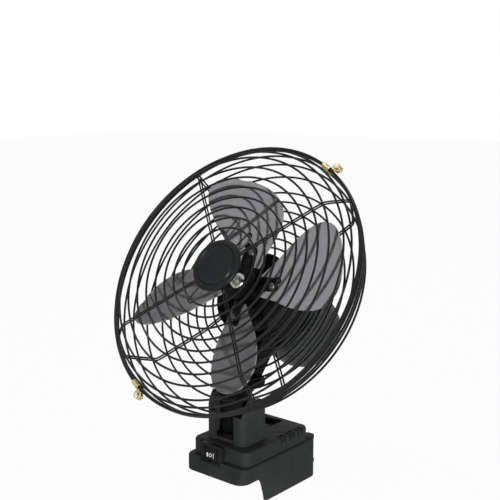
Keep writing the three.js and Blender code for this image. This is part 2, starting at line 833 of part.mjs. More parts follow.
function plateScrew(degrees) {
  const seat = -platePlane + seatGap;
  const top = seat + plateScrewHeadHeight;
  const deep = -platePlane - plateScrewLength + seatGap;
  const points = [[0, deep], [plateScrewRadius, deep], [plateScrewRadius, seat], [plateScrewHeadRadius, seat]];
  points.push([plateScrewHeadRadius, top - seatGap], [plateScrewHeadRadius - seatGap, top], [0, top]);
  return aboutAxis(carried(turned(points, screwSteps), plateScrewRing, 0, 0, new THREE.Vector3(0, 0, 1)), degrees);
}

function cap() {
  const back = frontFace + weldDepth - ringWire / 2 + seatGap;
  const face = back + capDepth;
  const floor = face - capGrooveDepth;
  const points = [[0, back], [capRadius - capLip, back], [capRadius, back + capLip], [capRadius, face - capLip]];
  points.push([capRadius - capLip, face], [capGrooveOuter, face], [capGrooveOuter - capLip, floor]);
  points.push([capGrooveInner, floor], [capGrooveInner - capLip, face - capLip / 2], [0, face - capLip / 2 + capCrown]);
  return turned(points, roundSteps);
}

// A strap that wraps both rims, with two ears beside it along the rim for its screw.
function clipBand(degrees, side) {
  const inner = rimWire / 2 + clipGap;
  const reach = rimHalfGap + inner;
  const wall = clipBandWall;
  const half = clipBandLength / 2;
  const left = rimRadius - inner;
  const right = rimRadius + inner;
  const outer = block(left - wall, right + wall, -half, half, -reach - wall, reach + wall);
  const hollow = block(left, right, -half - cutOverrun, half + cutOverrun, -reach, reach);
  const earEnd = right + wall + clipEarRise;
  const earTop = clipEarGap / 2 + clipEarThickness;
  const along = [side * (half - wall), side * (half + clipEarLength)].sort((p, q) => p - q);
  const ears = block(right, earEnd, along[0], along[1], -earTop, earTop);
  const past = half + clipEarLength + cutOverrun;
  const middle = block(right - wall, earEnd + cutOverrun, -past, past, -clipEarGap / 2, clipEarGap / 2);
  const hole = rodAt(clipScrewReach(), clipScrewAlong(side), clipScrewRadius + seatGap, -earTop - cutOverrun, earTop + cutOverrun);
  return aboutAxis(outer.subtract(hollow).add(ears).subtract(middle).subtract(hole), degrees);
}

function clipScrewReach() {
  return rimRadius + rimWire / 2 + clipGap + clipBandWall + clipEarRise / 2;
}

function clipScrewAlong(side) {
  return side * (clipBandLength + clipEarLength) / 2;
}

function clipScrew(degrees, side) {
  const seat = clipEarGap / 2 + clipEarThickness + seatGap;
  const top = seat + clipScrewHeadHeight;
  const tail = -seat - clipNutHeight - clipScrewTail;
  const points = [[0, tail], [clipScrewRadius, tail], [clipScrewRadius, seat], [clipScrewHeadRadius, seat]];
  points.push([clipScrewHeadRadius, top - clipScrewHeadHeight / 3], [clipScrewHeadRadius - clipScrewHeadHeight / 3, top], [0, top]);
  const upright = new THREE.Vector3(0, 0, 1);
  return aboutAxis(carried(turned(points, screwSteps), clipScrewReach(), clipScrewAlong(side), 0, upright), degrees);
}

function clipNut(degrees, side) {
  const seat = -clipEarGap / 2 - clipEarThickness - seatGap;
  const body = rod(clipNutRadius, seat - clipNutHeight, seat, hexSteps);
  const bore = rod(clipScrewRadius + seatGap, seat - clipNutHeight - cutOverrun, seat + cutOverrun, screwSteps);
  const upright = new THREE.Vector3(0, 0, 1);
  return aboutAxis(carried(body.subtract(bore), clipScrewReach(), clipScrewAlong(side), 0, upright), degrees);
}

// Fan wheel
function bladeAt(radius, along, lift) {
  const share = Math.max((radius - armEnd) / (bladeTip - armEnd), 0);
  const pitch = radians(bladeRootPitch + (bladeTipPitch - bladeRootPitch) * share);
  const across = along + bladeSweep * (radius - bladeRoot) / (bladeTip - bladeRoot);
  const y = across * Math.cos(pitch) - lift * Math.sin(pitch);
  const z = -bladePlane + across * Math.sin(pitch) + lift * Math.cos(pitch);
  return new THREE.Vector3(radius, y, z);
}

// A thin twisted sheet: rows run from the root to the tip, each from the trailing to the leading edge.
function bladeSheetSolid() {
  const rows = bladeRadiusShares.length;
  const columns = bladeChordSteps + 1;
  const positions = [];
  for (const face of [-1, 1]) {
    for (let i = 0; i < rows; i += 1) {
      for (let j = 0; j < columns; j += 1) {
        const along = bladeHalfChord * bladeWidthShares[i] * (2 * j / bladeChordSteps - 1);
        positions.push(...bladeAt(bladeTip * bladeRadiusShares[i], along, face * bladeSheet / 2).toArray());
      }
    }
  }
  const top = rows * columns;
  const index = [];
  const at = (i, j) => i * columns + j;
  for (let i = 0; i < rows - 1; i += 1) {
    for (let j = 0; j < columns - 1; j += 1) {
      const [a, b, c, d] = [at(i, j), at(i + 1, j), at(i + 1, j + 1), at(i, j + 1)];
      index.push(top + a, top + b, top + c, top + a, top + c, top + d);
      index.push(a, c, b, a, d, c);
    }
  }
  const rim = [];
  for (let i = 0; i < rows; i += 1) rim.push(at(i, 0));
  for (let j = 1; j < columns; j += 1) rim.push(at(rows - 1, j));
  for (let i = rows - 2; i >= 0; i -= 1) rim.push(at(i, columns - 1));
  for (let j = columns - 2; j > 0; j -= 1) rim.push(at(0, j));
  for (let k = 0; k < rim.length; k += 1) {
    const a = rim[k];
    const b = rim[(k + 1) % rim.length];
    index.push(a, b, top + b, a, top + b, top + a);
  }
  const geometry = new THREE.BufferGeometry();
  geometry.setAttribute('position', new THREE.Float32BufferAttribute(positions, 3));
  geometry.setIndex(index);
  return solidOf(geometry);
}

// The direction square to a blade's flat root.
function rootNormal() {
  const pitch = radians(bladeRootPitch);
  return new THREE.Vector3(0, -Math.sin(pitch), Math.cos(pitch));
}

function rivetPart(radius, low, high, steps) {
  const foot = bladeAt(rivetReach, -bladeSweep * (rivetReach - bladeRoot) / (bladeTip - bladeRoot), 0);
  return carried(rod(radius, low, high, steps), foot.x, foot.y, foot.z, rootNormal());
}

function blade(index) {
  const hole = rivetPart(rivetRadius + seatGap, -cutOverrun, cutOverrun, screwSteps);
  return aboutAxis(bladeSheetSolid().subtract(hole), bladeFirstDegrees + index * squareDegrees);
}

function armTop() {
  return bladeSheet / 2 + seatGap + armThickness;
}

function rivet(index) {
  const head = rivetPart(rivetHeadRadius, armTop() + seatGap, armTop() + seatGap + rivetHeadHeight, screwSteps);
  const shank = rivetPart(rivetRadius, -bladeSheet, armTop() + seatGap + weldDepth, screwSteps);
  const tail = rivetPart(rivetHeadRadius, -bladeSheet / 2 - seatGap - rivetHeadHeight, -bladeSheet / 2 - seatGap, screwSteps);
  return aboutAxis(joined([head, shank, tail]), bladeFirstDegrees + index * squareDegrees);
}

// The hub drum with one flat arm in front of each blade's root.
function hub() {
  const edge = seatGap + seatGap;
  const points = [[shaftRadius + seatGap, -hubBarrelBack], [hubBarrelRadius, -hubBarrelBack], [hubBarrelRadius, -hubBack]];
  points.push([hubRadius, -hubBack + edge], [hubRadius, -hubFront - edge], [hubRadius - edge, -hubFront]);
  points.push([shaftRadius + seatGap, -hubFront], [shaftRadius + seatGap, -hubBarrelBack]);
  let body = turned(points, roundSteps);
  for (let i = 0; i < bladeCount; i += 1) {
    const turn = bladeFirstDegrees + i * squareDegrees;
    const low = bladeSheet / 2 + seatGap;
    const bar = prism(roundedOutline(hubRadius - cutOverrun, armEnd, -armWidth / 2, armWidth / 2, armWidth / 2 - weldDepth), low, low + armThickness);
    const geometry = geometryOf(bar);
    geometry.rotateX(radians(bladeRootPitch));
    geometry.translate(0, 0, -bladePlane);
    const hole = rivetPart(rivetRadius + seatGap, 0, cutOverrun + cutOverrun, screwSteps);
    body = body.add(aboutAxis(solidOf(geometry).subtract(hole), turn));
  }
  const bore = rod(shaftRadius + seatGap, -hubBarrelBack - cutOverrun, cutOverrun, boltSteps);
  return body.subtract(bore);
}

function collar() {
  const back = -hubFront + seatGap;
  const front = -collarFront;
  const inner = shaftRadius + seatGap;
  const edge = seatGap + seatGap;
  const points = [[inner, back], [collarRadius, back], [collarRadius, front - edge], [collarRadius - edge, front], [inner, front], [inner, back]];
  const hole = rod(setScrewRadius + seatGap, 0, collarRadius + cutOverrun, screwSteps);
  return turned(points, smallSteps).subtract(carried(hole, 0, 0, (back + front) / 2, alongX));
}

function setScrew() {
  const start = shaftRadius + seatGap;
  return carried(rod(setScrewRadius, start, start + setScrewLength, screwSteps), 0, 0, (-hubFront + seatGap - collarFront) / 2, alongX);
}

place(product, 'base_lower_shell', lowerShell(), black);
place(product, 'base_deck', deck(), black);
place(product, 'tower', tower(), black);
place(product, 'switch_bezel', bezel(), switchBlack);
place(product, 'rocker_switch', rocker(), switchBlack);
place(product, 'terminal_block', terminalBlock(), deepBlack);
place(product, 'contact_positive', contactBox(1, 0, 0), brass);
place(product, 'contact_negative', contactBox(-1, 0, 0), brass);
baseScrewPlaces().forEach(([x, y], i) => {
  const mesh = place(product, `base_screw_${i + 1}`, baseScrew(), darkSteel);
  mesh.position.set(x, y, 0);
});

place(turningGroup, 'pivot_post', post(), deepBlack);
turningGroup.position.set(0, -turnAxisBack, 0);
turningGroup.rotation.z = radians(turnDegrees);
product.add(turningGroup);

place(headGroup, 'stalk', stalk(), deepBlack);
place(headGroup, 'pivot_bolt', pivotBolt(), deepBlack);
place(headGroup, 'pivot_nut', pivotNut(), darkSteel);
place(headGroup, 'motor_housing_front', motorFront(), deepBlack);
place(headGroup, 'motor_housing_rear', motorRear(), motorPaint);
place(headGroup, 'rear_grille', rearGuard(), wirePaint);
place(headGroup, 'front_grille', frontGuard(), wirePaint);
place(headGroup, 'centre_cap', cap(), black);
clipDegrees.forEach((degrees, i) => {
  place(headGroup, `clip_band_${i + 1}`, clipBand(degrees, clipSides[i]), brass);
  place(headGroup, `clip_screw_${i + 1}`, clipScrew(degrees, clipSides[i]), brightSteel);
  place(headGroup, `clip_nut_${i + 1}`, clipNut(degrees, clipSides[i]), brightSteel);
});
plateScrewDegrees.forEach((degrees, i) => {
  place(headGroup, `grille_screw_${i + 1}`, plateScrew(degrees), darkSteel);
});
place(headGroup, 'motor_shaft', shaft(), brightSteel);
place(headGroup, 'fan_hub', hub(), deepBlack);
for (let i = 0; i < bladeCount; i += 1) {
  place(headGroup, `fan_blade_${i + 1}`, blade(i), bladePaint);
  place(headGroup, `blade_rivet_${i + 1}`, rivet(i), darkSteel);
}
place(headGroup, 'hub_collar', collar(), brightSteel);
place(headGroup, 'set_screw', setScrew(), darkSteel);

// The head leans back about the pivot: its own z axis is the fan's axis.
const lean = radians(squareDegrees - tiltDegrees);
const offset = new THREE.Vector3(0, headRise, headReach).applyAxisAngle(alongX, lean);
headGroup.rotation.x = lean;
headGroup.position.set(offset.x, pivotSetback + offset.y, pivotHeight + offset.z);
turningGroup.add(headGroup);

export default product;
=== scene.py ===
import json
import math

import bmesh
import bpy
from mathutils import Matrix, Vector


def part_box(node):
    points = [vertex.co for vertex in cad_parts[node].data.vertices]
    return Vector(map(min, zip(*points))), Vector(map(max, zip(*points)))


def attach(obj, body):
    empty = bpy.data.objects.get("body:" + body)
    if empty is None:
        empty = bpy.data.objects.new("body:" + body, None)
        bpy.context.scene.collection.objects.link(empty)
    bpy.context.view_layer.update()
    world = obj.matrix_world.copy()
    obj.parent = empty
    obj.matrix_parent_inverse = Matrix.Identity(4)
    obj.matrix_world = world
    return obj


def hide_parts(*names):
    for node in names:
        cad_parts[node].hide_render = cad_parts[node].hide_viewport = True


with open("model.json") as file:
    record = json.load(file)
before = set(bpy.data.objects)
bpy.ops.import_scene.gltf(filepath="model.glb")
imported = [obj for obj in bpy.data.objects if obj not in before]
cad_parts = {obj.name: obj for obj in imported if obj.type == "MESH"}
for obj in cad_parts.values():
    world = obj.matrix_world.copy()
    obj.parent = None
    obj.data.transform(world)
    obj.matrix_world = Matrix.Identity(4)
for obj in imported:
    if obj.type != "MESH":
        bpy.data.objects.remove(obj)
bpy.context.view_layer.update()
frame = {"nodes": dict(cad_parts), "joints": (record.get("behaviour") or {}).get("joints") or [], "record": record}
bpy.context.scene.view_settings.view_transform = "Standard"

MM = 0.001
FULL_TURN = math.tau
QUARTER = math.tau / 4
Z_AXIS = Vector((0, 0, 1))
UPRIGHT = Matrix.Identity(4)


def joint(name):
    return next(j for j in frame["joints"] if j["name"] == name)


def head_place():
    """The head's own frame: x to its right, y up along the rim, z out along the fan's axis."""
    out = Vector(joint("fan_spin")["axis"]).normalized()
    across = Vector(joint("head_tilt")["axis"]).normalized()
    rise = out.cross(across)
    turn = Matrix((across, rise, out)).transposed().to_4x4()
    return Matrix.Translation(joint("fan_spin")["pos_m"]) @ turn


HEAD = head_place()
PIVOT = HEAD.inverted() @ Vector(joint("head_tilt")["pos_m"])

# Camera, floor and light

LENS = 65.47
SENSOR = 36
EYE_PLACE = (0.5566, -0.6646, 0.3903)
EYE_RIGHT = Vector((0.7648, 0.6443, 0))
EYE_BACK = Vector((0.6347, -0.7533, 0.1722)).normalized()
SHADE_LIGHT = 0.045
FLOOR_GLOW = 0.97
FLOOR_REACH = 6


def camera():
    """The eye, where one camera fitted the base, the tower and the guard of the photo."""
    data = bpy.data.cameras.new("camera")
    data.lens = LENS
    data.sensor_width = SENSOR
    eye = bpy.data.objects.new("camera", data)
    up = EYE_BACK.cross(EYE_RIGHT).normalized()
    turn = Matrix((EYE_RIGHT, up, EYE_BACK)).transposed().to_4x4()
    eye.matrix_world = Matrix.Translation(EYE_PLACE) @ turn
    bpy.context.scene.collection.objects.link(eye)
    bpy.context.scene.camera = eye


def lamp(name, place, aim, size, watts):
    """A square area light at a place, turned to face its aim."""
    data = bpy.data.lights.new(name, "AREA")
    data.size = size
    data.energy = watts
    lit = bpy.data.objects.new(name, data)
    direction = Vector(aim) - Vector(place)
    turn = direction.to_track_quat("-Z", "Y").to_matrix().to_4x4()
    lit.matrix_world = Matrix.Translation(place) @ turn
    bpy.context.scene.collection.objects.link(lit)


def seen_rays(nodes, links):
    """One where a ray comes from the camera, a reflection or through glass."""
    path = nodes.new("ShaderNodeLightPath")
    first = nodes.new("ShaderNodeMath")
    first.operation = "MAXIMUM"
    links.new(path.outputs["Is Camera Ray"], first.inputs[0])
    links.new(path.outputs["Is Glossy Ray"], first.inputs[1])
    both = nodes.new("ShaderNodeMath")
    both.operation = "MAXIMUM"
    links.new(first.outputs[0], both.inputs[0])
    links.new(path.outputs["Is Transmission Ray"], both.inputs[1])
    return both.outputs[0]


def surroundings():
    """White to the eye and in reflections, and a faint even light on everything else."""
    world = bpy.data.worlds.new("studio")
    bpy.context.scene.world = world
    world.use_nodes = True
    nodes, links = world.node_tree.nodes, world.node_tree.links
    nodes.clear()
    out = nodes.new("ShaderNodeOutputWorld")
    soft = nodes.new("ShaderNodeBackground")
    soft.inputs["Color"].default_value = (1, 1, 1, 1)
    soft.inputs["Strength"].default_value = SHADE_LIGHT
    white = nodes.new("ShaderNodeBackground")
    white.inputs["Color"].default_value = (1, 1, 1, 1)
    mix = nodes.new("ShaderNodeMixShader")
    links.new(seen_rays(nodes, links), mix.inputs[0])
    links.new(soft.outputs[0], mix.inputs[1])
    links.new(white.outputs[0], mix.inputs[2])
    links.new(mix.outputs[0], out.inputs[0])


def floor():
    """A pale floor that glows nearly white to the eye and still takes the fan's shadow."""
    work = bmesh.new()
    bmesh.ops.create_grid(work, x_segments=1, y_segments=1, size=FLOOR_REACH)
    mesh = bpy.data.meshes.new("floor")
    work.to_mesh(mesh)
    work.free()
    ground = bpy.data.objects.new("floor", mesh)
    bpy.context.scene.collection.objects.link(ground)
    pale = bpy.data.materials.new("pale_floor")
    pale.use_nodes = True
    nodes, links = pale.node_tree.nodes, pale.node_tree.links
    nodes.clear()
    out = nodes.new("ShaderNodeOutputMaterial")
    paint = nodes.new("ShaderNodeBsdfDiffuse")
    paint.inputs["Color"].default_value = (0.8, 0.8, 0.8, 1)
    glow = nodes.new("ShaderNodeEmission")
    glow.inputs["Strength"].default_value = 1
    ratio = nodes.new("ShaderNodeMath")
    ratio.operation = "MULTIPLY"
    ratio.inputs[1].default_value = FLOOR_GLOW
    mix = nodes.new("ShaderNodeMixShader")
    links.new(seen_rays(nodes, links), ratio.inputs[0])
    links.new(ratio.outputs[0], mix.inputs[0])
    links.new(paint.outputs[0], mix.inputs[1])
    links.new(glow.outputs[0], mix.inputs[2])
    links.new(mix.outputs[0], out.inputs[0])
    mesh.materials.append(pale)


def lights():
    """A hard key from the front right, a small high one from the left and two soft fills."""
    middle, foot = (0, 0, 0.2), (0, 0, 0.08)
    lamp("key", (1.12, -0.95, 0.17), middle, size=0.025, watts=25)
    lamp("window", (-0.51, -0.39, 1.55), middle, size=0.05, watts=2.6)
    lamp("soft_box", (-0.25, -1.4, 0.1), foot, size=0.7, watts=2.6)
    lamp("back_light", (-0.3, 1.0, 0.9), middle, size=0.8, watts=1.5)


# Finishes

METAL_GLOSS = 0.5
PAINT_GLOSS = 0.08


class Finish:
    """A material made of nodes, on the piece's own Object coordinates."""

    def __init__(self, name, colour, rough, metal=0.0, gloss=PAINT_GLOSS):
        self.material = bpy.data.materials.new(name)
        self.material.use_nodes = True
        self.nodes = self.material.node_tree.nodes
        self.links = self.material.node_tree.links
        self.shader = self.nodes["Principled BSDF"]
        self.shader.inputs["Base Color"].default_value = (*colour, 1)
        self.shader.inputs["Roughness"].default_value = rough
        self.shader.inputs["Metallic"].default_value = metal
        self.shader.inputs["Specular IOR Level"].default_value = METAL_GLOSS if metal else gloss
        self.colour = colour
        self.place = self.nodes.new("ShaderNodeTexCoord").outputs["Object"]
        self.bump = None

    def noise(self, scale, detail, stretch=None):
        """Cloudy noise, from a fine grain at a high scale to broad patches at a low one."""
        texture = self.nodes.new("ShaderNodeTexNoise")
        texture.inputs["Scale"].default_value = scale
        texture.inputs["Detail"].default_value = detail
        place = self.place
        if stretch:
            mapping = self.nodes.new("ShaderNodeMapping")
            mapping.inputs["Scale"].default_value = stretch
            self.links.new(place, mapping.inputs["Vector"])
            place = mapping.outputs[0]
        self.links.new(place, texture.inputs["Vector"])
        return texture.outputs["Fac"]

    def levels(self, value, low, high, to_low, to_high):
        """Stretches the value from one span to another."""
        node = self.nodes.new("ShaderNodeMapRange")
        ends = zip(("From Min", "From Max", "To Min", "To Max"), (low, high, to_low, to_high))
        for key, number in ends:
            node.inputs[key].default_value = number
        self.links.new(value, node.inputs["Value"])
        return node.outputs[0]

    def tint(self, value, low, high, other):
        """Blends the colour towards another where the value runs from low to high."""
        mix = self.nodes.new("ShaderNodeMix")
        mix.data_type = "RGBA"
        held = self.shader.inputs["Base Color"]
        if held.is_linked:
            self.links.new(held.links[0].from_socket, mix.inputs["A"])
        else:
            mix.inputs["A"].default_value = (*self.colour, 1)
        mix.inputs["B"].default_value = (*other, 1)
        self.links.new(self.levels(value, low, high, 0, 1), mix.inputs["Factor"])
        self.links.new(mix.outputs["Result"], held)

    def sheen_change(self, value, low, high, to_low, to_high):
        """Lets the roughness follow the value."""
        level = self.levels(value, low, high, to_low, to_high)
        self.links.new(level, self.shader.inputs["Roughness"])

    def grain(self, value, strength, depth):
        """Adds a bump on top of the bumps before it."""
        node = self.nodes.new("ShaderNodeBump")
        node.inputs["Strength"].default_value = strength
        node.inputs["Distance"].default_value = depth
        self.links.new(value, node.inputs["Height"])
        if self.bump:
            self.links.new(self.bump, node.inputs["Normal"])
        self.bump = node.outputs["Normal"]
        self.links.new(self.bump, self.shader.inputs["Normal"])


def moulded(name, colour, rough, grain_scale=2600, depth=0.00006, strength=0.35,
            gloss=PAINT_GLOSS):
    """Moulded plastic: a fine spark-eroded grain, a little uneven in gloss, with a faint bloom."""
    made = Finish(name, colour, rough, gloss=gloss)
    fine = made.noise(grain_scale, 2)
    broad = made.noise(38, 3)
    lifted = tuple(c * 1.35 + 0.002 for c in colour)
    made.tint(broad, 0.42, 0.72, lifted)
    made.sheen_change(made.noise(140, 4), 0.3, 0.7, rough - 0.06, rough + 0.07)
    made.grain(fine, strength, depth)
    made.grain(made.noise(60, 2), 0.08, 0.0002)
    return made


def powder_coat(name, colour, rough, scale=1500, depth=0.00005, gloss=PAINT_GLOSS):
    """Powder coat on wire and sheet: half gloss with a slight orange peel."""
    made = Finish(name, colour, rough, gloss=gloss)
    peel = made.noise(scale, 1)
    made.tint(made.noise(70, 3), 0.45, 0.75, tuple(c * 1.5 + 0.003 for c in colour))
    made.sheen_change(made.noise(230, 3), 0.3, 0.7, rough - 0.07, rough + 0.08)
    made.grain(peel, 0.22, depth)
    return made


def plated(name, colour, rough, stain, scale=300):
    """Plated metal with fine drawing marks and a little staining."""
    made = Finish(name, colour, rough, metal=1.0)
    made.tint(made.noise(scale, 4), 0.45, 0.7, stain)
    made.sheen_change(made.noise(scale * 2, 3), 0.3, 0.7, rough - 0.08, rough + 0.14)
    made.grain(made.noise(900, 2, stretch=(1, 1, 6)), 0.12, 0.00004)
    return made


def blade_paint():
    """Grey satin paint on pressed sheet, with broad duller patches and fine pale specks."""
    made = Finish("blade_grey", (0.215, 0.215, 0.225), rough=0.5, gloss=0.12)
    made.tint(made.noise(16, 4), 0.42, 0.7, (0.2, 0.2, 0.21))
    made.tint(made.noise(420, 2), 0.62, 0.78, (0.29, 0.29, 0.3))
    made.sheen_change(made.noise(45, 4), 0.3, 0.7, 0.42, 0.58)
    made.grain(made.noise(1200, 2), 0.16, 0.00004)
    made.grain(made.noise(24, 2), 0.1, 0.0006)
    return made


FINISH = {
    "housing_black": moulded("housing_black", (0.017, 0.0182, 0.0182), rough=0.6, gloss=0.1),
    "switch_black": moulded("switch_black", (0.008, 0.0085, 0.009), rough=0.5,
                            grain_scale=3200, depth=0.00003, strength=0.2),
    "rocker_black": moulded("rocker_black", (0.0035, 0.0035, 0.004), rough=0.4,
                            grain_scale=900, depth=0.00002, strength=0.08),
    # inner_black is partly painted shade: a black finish, made darker still so the neck, post and bolt stand in
    # for the shade inside the tower's slot
    "inner_black": moulded("inner_black", (0.0035, 0.0035, 0.004), rough=0.5, gloss=0.05),
    # motor_black is partly painted shade: a black finish, with the front shell kept far darker than the grey can
    # so it stands in for the shade on the motor's front
    "motor_black": powder_coat("motor_black", (0.004, 0.004, 0.0045), rough=0.5),
    "motor_grey": powder_coat("motor_grey", (0.024, 0.027, 0.028), rough=0.5),
    "wire_black": powder_coat("wire_black", (0.0065, 0.0065, 0.007), rough=0.3,
                              scale=2600, depth=0.00003, gloss=0.14),
    "cap_black": moulded("cap_black", (0.006, 0.0075, 0.0082), rough=0.34,
                         grain_scale=3000, depth=0.00003, strength=0.2, gloss=0.13),
    "hub_black": powder_coat("hub_black", (0.003, 0.003, 0.0035), rough=0.3),
    "blade_grey": blade_paint(),
    "clip_yellow": plated("clip_yellow", (0.6, 0.52, 0.26), rough=0.36, stain=(0.36, 0.29, 0.11)),
    "pale_zinc": plated("pale_zinc", (0.74, 0.7, 0.5), rough=0.3, stain=(0.5, 0.46, 0.28)),
    "bright_steel": plated("bright_steel", (0.62, 0.62, 0.6), rough=0.27, stain=(0.42, 0.42, 0.4)),
    "dark_steel": plated("dark_steel", (0.09, 0.09, 0.095), rough=0.38, stain=(0.05, 0.05, 0.052)),
    "contact_brass": plated("contact_brass", (0.75, 0.58, 0.3), rough=0.3, stain=(0.55, 0.38, 0.17)),
}
PRINT = FINISH["white_print"] = Finish("white_print", (0.72, 0.73, 0.72), rough=0.5)
PRINT.tint(PRINT.noise(2400, 2), 0.5, 0.75, (0.5, 0.51, 0.5))

# Making pieces

# Distances in metres within which points merge, and limits that tell one edge from another.
MERGE = 0.000002
SEAM_MERGE = 0.000004
CAD_MERGE = 0.00001
CAD_CREASE = 30
FLAT_ANGLE = math.radians(1)
LEVEL_WITHIN = 1e-7
UPRIGHT_FROM = 0.99
FILLET_STEPS = 3


def piece(name, work, finish, body, nodes=(), place=UPRIGHT, crease=32, recalc=True,
          wall=None, edge=None):
    """Turns a bmesh into a finished object that rides on a body and may stand for CAD nodes.

    The crease is in degrees. The wall is a sheet's thickness in metres. The edge is the width
    of its rounding in metres, with the number of steps.
    """
    if recalc:
        bmesh.ops.remove_doubles(work, verts=work.verts, dist=MERGE)
        bmesh.ops.recalc_face_normals(work, faces=work.faces)
    bmesh.ops.transform(work, matrix=place, verts=work.verts)
    for face in work.faces:
        face.smooth = True
    mesh = bpy.data.meshes.new(name)
    work.to_mesh(mesh)
    work.free()
    mesh.set_sharp_from_angle(angle=math.radians(crease))
    mesh.materials.append(FINISH[finish].material)
    made = bpy.data.objects.new(name, mesh)
    bpy.context.scene.collection.objects.link(made)
    if wall:
        thick = made.modifiers.new("wall", "SOLIDIFY")
        thick.thickness = wall
        thick.offset = 0
    if edge:
        width, steps = edge
        softened = made.modifiers.new("edge", "BEVEL")
        softened.width = width
        softened.segments = steps
        softened.limit_method = "ANGLE"
        softened.angle_limit = math.radians(crease)
        softened.harden_normals = True
    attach(made, body)
    if nodes:
        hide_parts(*nodes)
    return made


def joined(*works):
    """Puts several bmeshes into one."""
    whole = bmesh.new()
    for work in works:
        mesh = bpy.data.meshes.new("part")
        work.to_mesh(mesh)
        work.free()
        whole.from_mesh(mesh)
        bpy.data.meshes.remove(mesh)
    return whole


def moved(work, matrix):
    """The same bmesh, set elsewhere."""
    bmesh.ops.transform(work, matrix=matrix, verts=work.verts)
    return work


def around(degrees):
    return Matrix.Rotation(math.radians(degrees), 4, "Z")


def at(x, y, z):
    return Matrix.Translation((x, y, z))


def spun(work, geom, steps):
    """Spins the given verts and edges once round the z axis and closes the seam."""
    bmesh.ops.spin(work, geom=geom, cent=(0, 0, 0), axis=(0, 0, 1), angle=FULL_TURN, steps=steps,
                   use_merge=True, use_duplicate=False)


def turned(profile, steps):
    """A shape turned about the z axis from points (radius, height) in millimetres."""
    work = bmesh.new()
    verts = [work.verts.new((r * MM, 0, z * MM)) for r, z in profile]
    edges = [work.edges.new(pair) for pair in zip(verts, verts[1:])]
    spun(work, verts + edges, steps)
    bmesh.ops.remove_doubles(work, verts=work.verts, dist=SEAM_MERGE)
    return work


def eased(profile, size, steps=3):
    """Rounds each inner corner of a profile with a short curve."""
    most = 0.45  # of the run on either side of the corner
    points = [profile[0]]
    for before, here, after in zip(profile, profile[1:], profile[2:]):
        a, b, c = Vector(before), Vector(here), Vector(after)
        reach_in = min(size, (a - b).length * most)
        reach_out = min(size, (c - b).length * most)
        start = b + (a - b).normalized() * reach_in
        end = b + (c - b).normalized() * reach_out
        for i in range(steps + 1):
            t = i / steps
            points.append(tuple(start * (1 - t) ** 2 + b * 2 * t * (1 - t) + end * t * t))
    points.append(profile[-1])
    return points


def ring(radius, height, wire, steps, sides=8):
    """A round wire ring about the z axis."""
    work = bmesh.new()
    turn = Matrix.Translation((radius * MM, 0, height * MM)) @ Matrix.Rotation(QUARTER, 4, "X")
    bmesh.ops.create_circle(work, segments=sides, radius=wire / 2 * MM, matrix=turn)
    spun(work, list(work.verts) + list(work.edges), steps)
    return work


def bent_wire(points, wire, sides=8):
    """A round wire along points in millimetres: one circle, extruded and turned on its way."""
    places = [Vector(p) * MM for p in points]
    work = bmesh.new()
    bmesh.ops.create_circle(work, segments=sides, radius=wire / 2 * MM, cap_ends=True)
    loop = list(work.edges)
    ahead = (places[1] - places[0]).normalized()
    turn = Z_AXIS.rotation_difference(ahead)
    moved(work, Matrix.Translation(places[0]) @ turn.to_matrix().to_4x4())
    for i in range(1, len(places)):
        extruded = bmesh.ops.extrude_edge_only(work, edges=loop)["geom"]
        verts = [v for v in extruded if isinstance(v, bmesh.types.BMVert)]
        loop = [e for e in extruded if isinstance(e, bmesh.types.BMEdge)]
        before = ahead
        if i < len(places) - 1:
            arriving = (places[i] - places[i - 1]).normalized()
            leaving = (places[i + 1] - places[i]).normalized()
            ahead = (arriving + leaving).normalized()
        else:
            ahead = (places[i] - places[i - 1]).normalized()
        swing = before.rotation_difference(ahead).to_matrix().to_4x4()
        step = Matrix.Translation(places[i]) @ swing @ Matrix.Translation(-places[i - 1])
        bmesh.ops.transform(work, matrix=step, verts=verts)
    bmesh.ops.edgeloop_fill(work, edges=loop)
    return work


def bend(points, size, steps=4):
    """Rounds the corners of a run of 3-D points."""
    return [tuple(p) for p in eased([Vector(p) for p in points], size, steps)]


def block(x0, x1, y0, y1, z0, z1):
    """A plain box in millimetres, for shaping on."""
    work = bmesh.new()
    size = Matrix.Diagonal(((x1 - x0) * MM, (y1 - y0) * MM, (z1 - z0) * MM, 1))
    centre = at((x0 + x1) / 2 * MM, (y0 + y1) / 2 * MM, (z0 + z1) / 2 * MM)
    bmesh.ops.create_cube(work, size=1, matrix=centre @ size)
    return work


def upright_edges(work):
    runs = {e: (e.verts[0].co - e.verts[1].co).normalized() for e in work.edges}
    return [e for e, run in runs.items() if abs(run.z) > UPRIGHT_FROM]


def rim_edges(work):
    """The level edges between a block's sides and its top or bottom."""
    level = [e for e in work.edges
             if abs(e.verts[0].co.z - e.verts[1].co.z) < LEVEL_WITHIN]
    return [e for e in level if len(e.link_faces) == 2 and e.calc_face_angle() > 1]


def rounded(work, edges, size, steps):
    """Rounds the given edges of a block, by a size in millimetres."""
    bmesh.ops.bevel(work, geom=edges, offset=size * MM, segments=steps, profile=0.5,
                    affect="EDGES", material=-1)


def rounded_block(x0, x1, y0, y1, z0, z1, corner, fillet, steps):
    """A box with rounded upright corners and softened top and bottom edges."""
    work = block(x0, x1, y0, y1, z0, z1)
    rounded(work, upright_edges(work), corner, steps)
    if fillet:
        rounded(work, rim_edges(work), fillet, FILLET_STEPS)
    return work


def carved(name, node, finish, body, edge):
    """A softened copy of a CAD node: merged, its flat faces cleaned, and its edges rounded."""
    work = bmesh.new()
    work.from_mesh(frame["nodes"][node].data)
    bmesh.ops.remove_doubles(work, verts=work.verts, dist=CAD_MERGE)
    bmesh.ops.dissolve_limit(work, angle_limit=FLAT_ANGLE, verts=work.verts, edges=work.edges)
    return piece(name, work, finish, body, (node,), crease=CAD_CREASE, recalc=False, edge=edge)


# Wire guards
# Lengths in millimetres and angles in degrees, in the head's own frame. A share is a part of a
# rib's run from one bend to the next.

